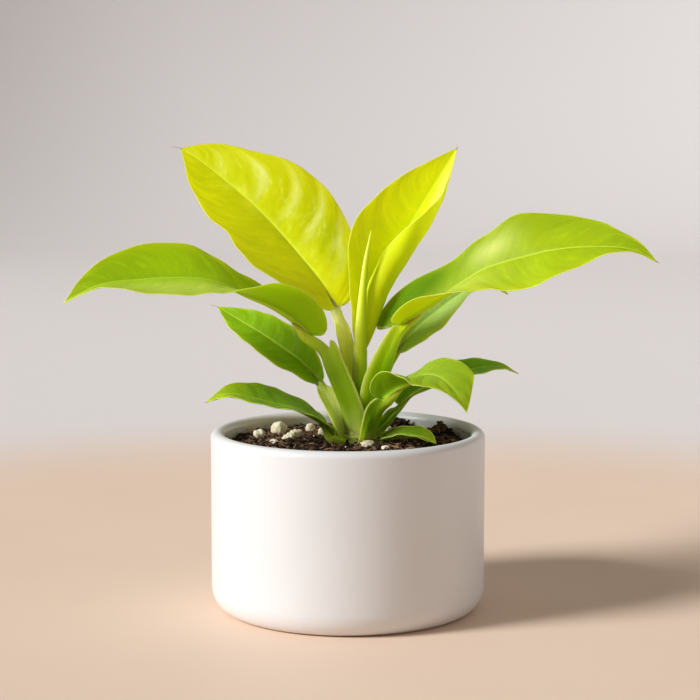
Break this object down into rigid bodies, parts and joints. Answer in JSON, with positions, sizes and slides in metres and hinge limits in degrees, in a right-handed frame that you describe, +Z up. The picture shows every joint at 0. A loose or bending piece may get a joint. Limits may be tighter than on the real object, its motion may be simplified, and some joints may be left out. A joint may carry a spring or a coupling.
{
  "type": "potted philodendron",
  "caption": "Chartreuse moonshine philodendron with long pointed leaves on sheathed stalks and a rolled new leaf, in a round white ceramic pot of dark soil with pumice grains.",
  "frame": {"origin": "centre of the pot's flat underside", "axes": "+Z up, +X to the right and +Y away from someone who looks at the front of the plant; +X lies along the widest spread of the leaves"},
  "size_m": [0.2666, 0.13, 0.2193],
  "materials": {
    "pot": "satin",
    "soil": "matte",
    "pumice": "matte",
    "crown": "satin",
    "new_leaf_spear": "satin",
    "leaf_upper_left": "satin",
    "leaf_upper_right": "satin",
    "leaf_left_long": "satin",
    "leaf_left_small": "satin",
    "leaf_low_left": "satin",
    "leaf_right_large": "satin",
    "leaf_right_back": "satin",
    "leaf_front_right": "satin",
    "leaf_right_slim": "satin",
    "leaf_front_small": "satin"
  },
  "bodies": {
    "root": {"pot": "pot", "potting_soil": "soil", "crown": "crown", "leaf_upper_left": "leaf_upper_left", "leaf_upper_right": "leaf_upper_right", "leaf_left_long": "leaf_left_long", "leaf_left_small": "leaf_left_small", "leaf_low_left": "leaf_low_left", "leaf_right_large": "leaf_right_large", "leaf_right_back": "leaf_right_back", "leaf_front_right": "leaf_front_right", "leaf_right_slim": "leaf_right_slim", "leaf_front_small": "leaf_front_small", "new_leaf_spear": "new_leaf_spear", "pumice_1": "pumice", "pumice_2": "pumice", "pumice_3": "pumice", "pumice_4": "pumice", "pumice_5": "pumice", "pumice_6": "pumice", "pumice_7": "pumice", "pumice_8": "pumice", "pumice_9": "pumice", "pumice_10": "pumice"}
  },
  "joints": []
}
